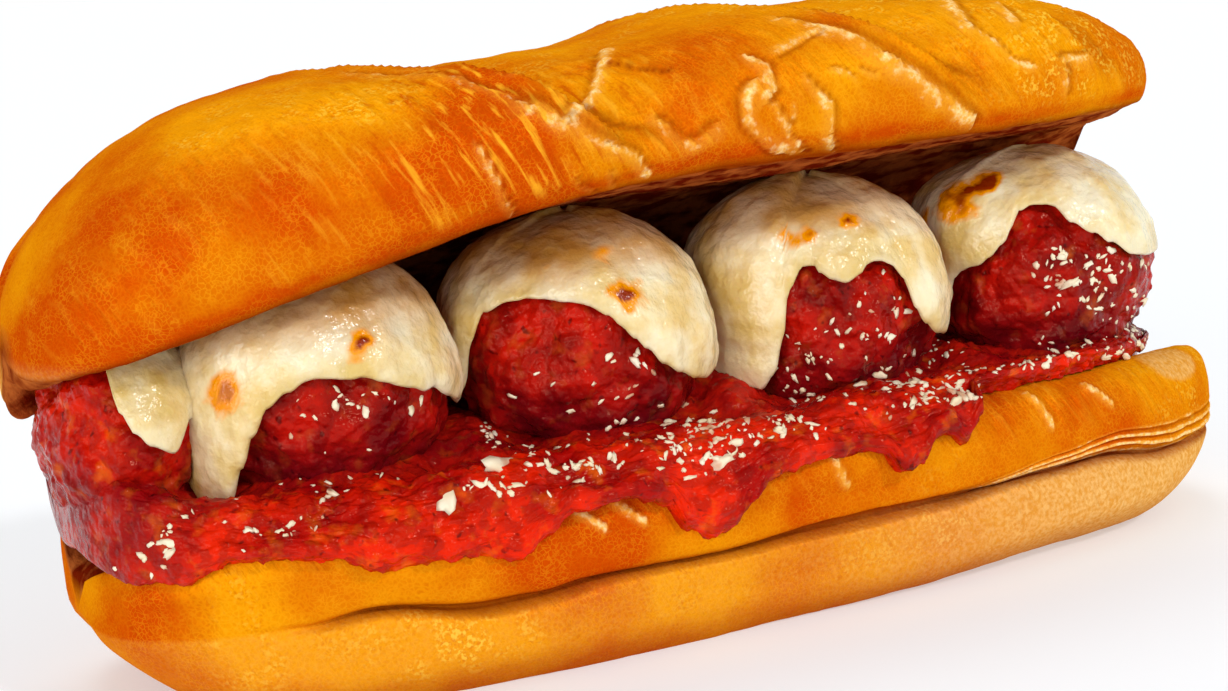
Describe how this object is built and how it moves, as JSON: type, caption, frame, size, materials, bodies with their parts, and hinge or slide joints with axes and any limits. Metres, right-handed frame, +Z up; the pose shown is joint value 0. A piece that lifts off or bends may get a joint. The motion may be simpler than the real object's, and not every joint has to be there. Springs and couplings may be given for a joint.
{
  "type": "submarine sandwich",
  "caption": "Hot meatball submarine sandwich: crusty split roll filled with a row of meatballs in tomato sauce under melted cheese slices, with grated cheese on top.",
  "frame": {"origin": "middle of the flat underside of the bottom half of the roll, on the surface that it rests on", "axes": "+X along the roll, -Y out of the open front where the filling shows, +Z up"},
  "size_m": [0.2068, 0.0838, 0.0958],
  "materials": {
    "crust": "golden baked crust, satin",
    "sauce": "wet tomato sauce, glossy",
    "meat": "rough meatball coated in sauce",
    "cheese": "melted cheese, soft gloss"
  },
  "bodies": {
    "root": {"bottom_roll": "crust", "top_roll": "crust", "tomato_sauce": "sauce", "meatball_1": "meat", "meatball_2": "meat", "meatball_3": "meat", "meatball_4": "meat", "meatball_5": "meat", "cheese_slice_1": "cheese", "cheese_slice_2": "cheese", "cheese_slice_3": "cheese", "cheese_slice_4": "cheese", "cheese_slice_5": "cheese"}
  },
  "joints": []
}
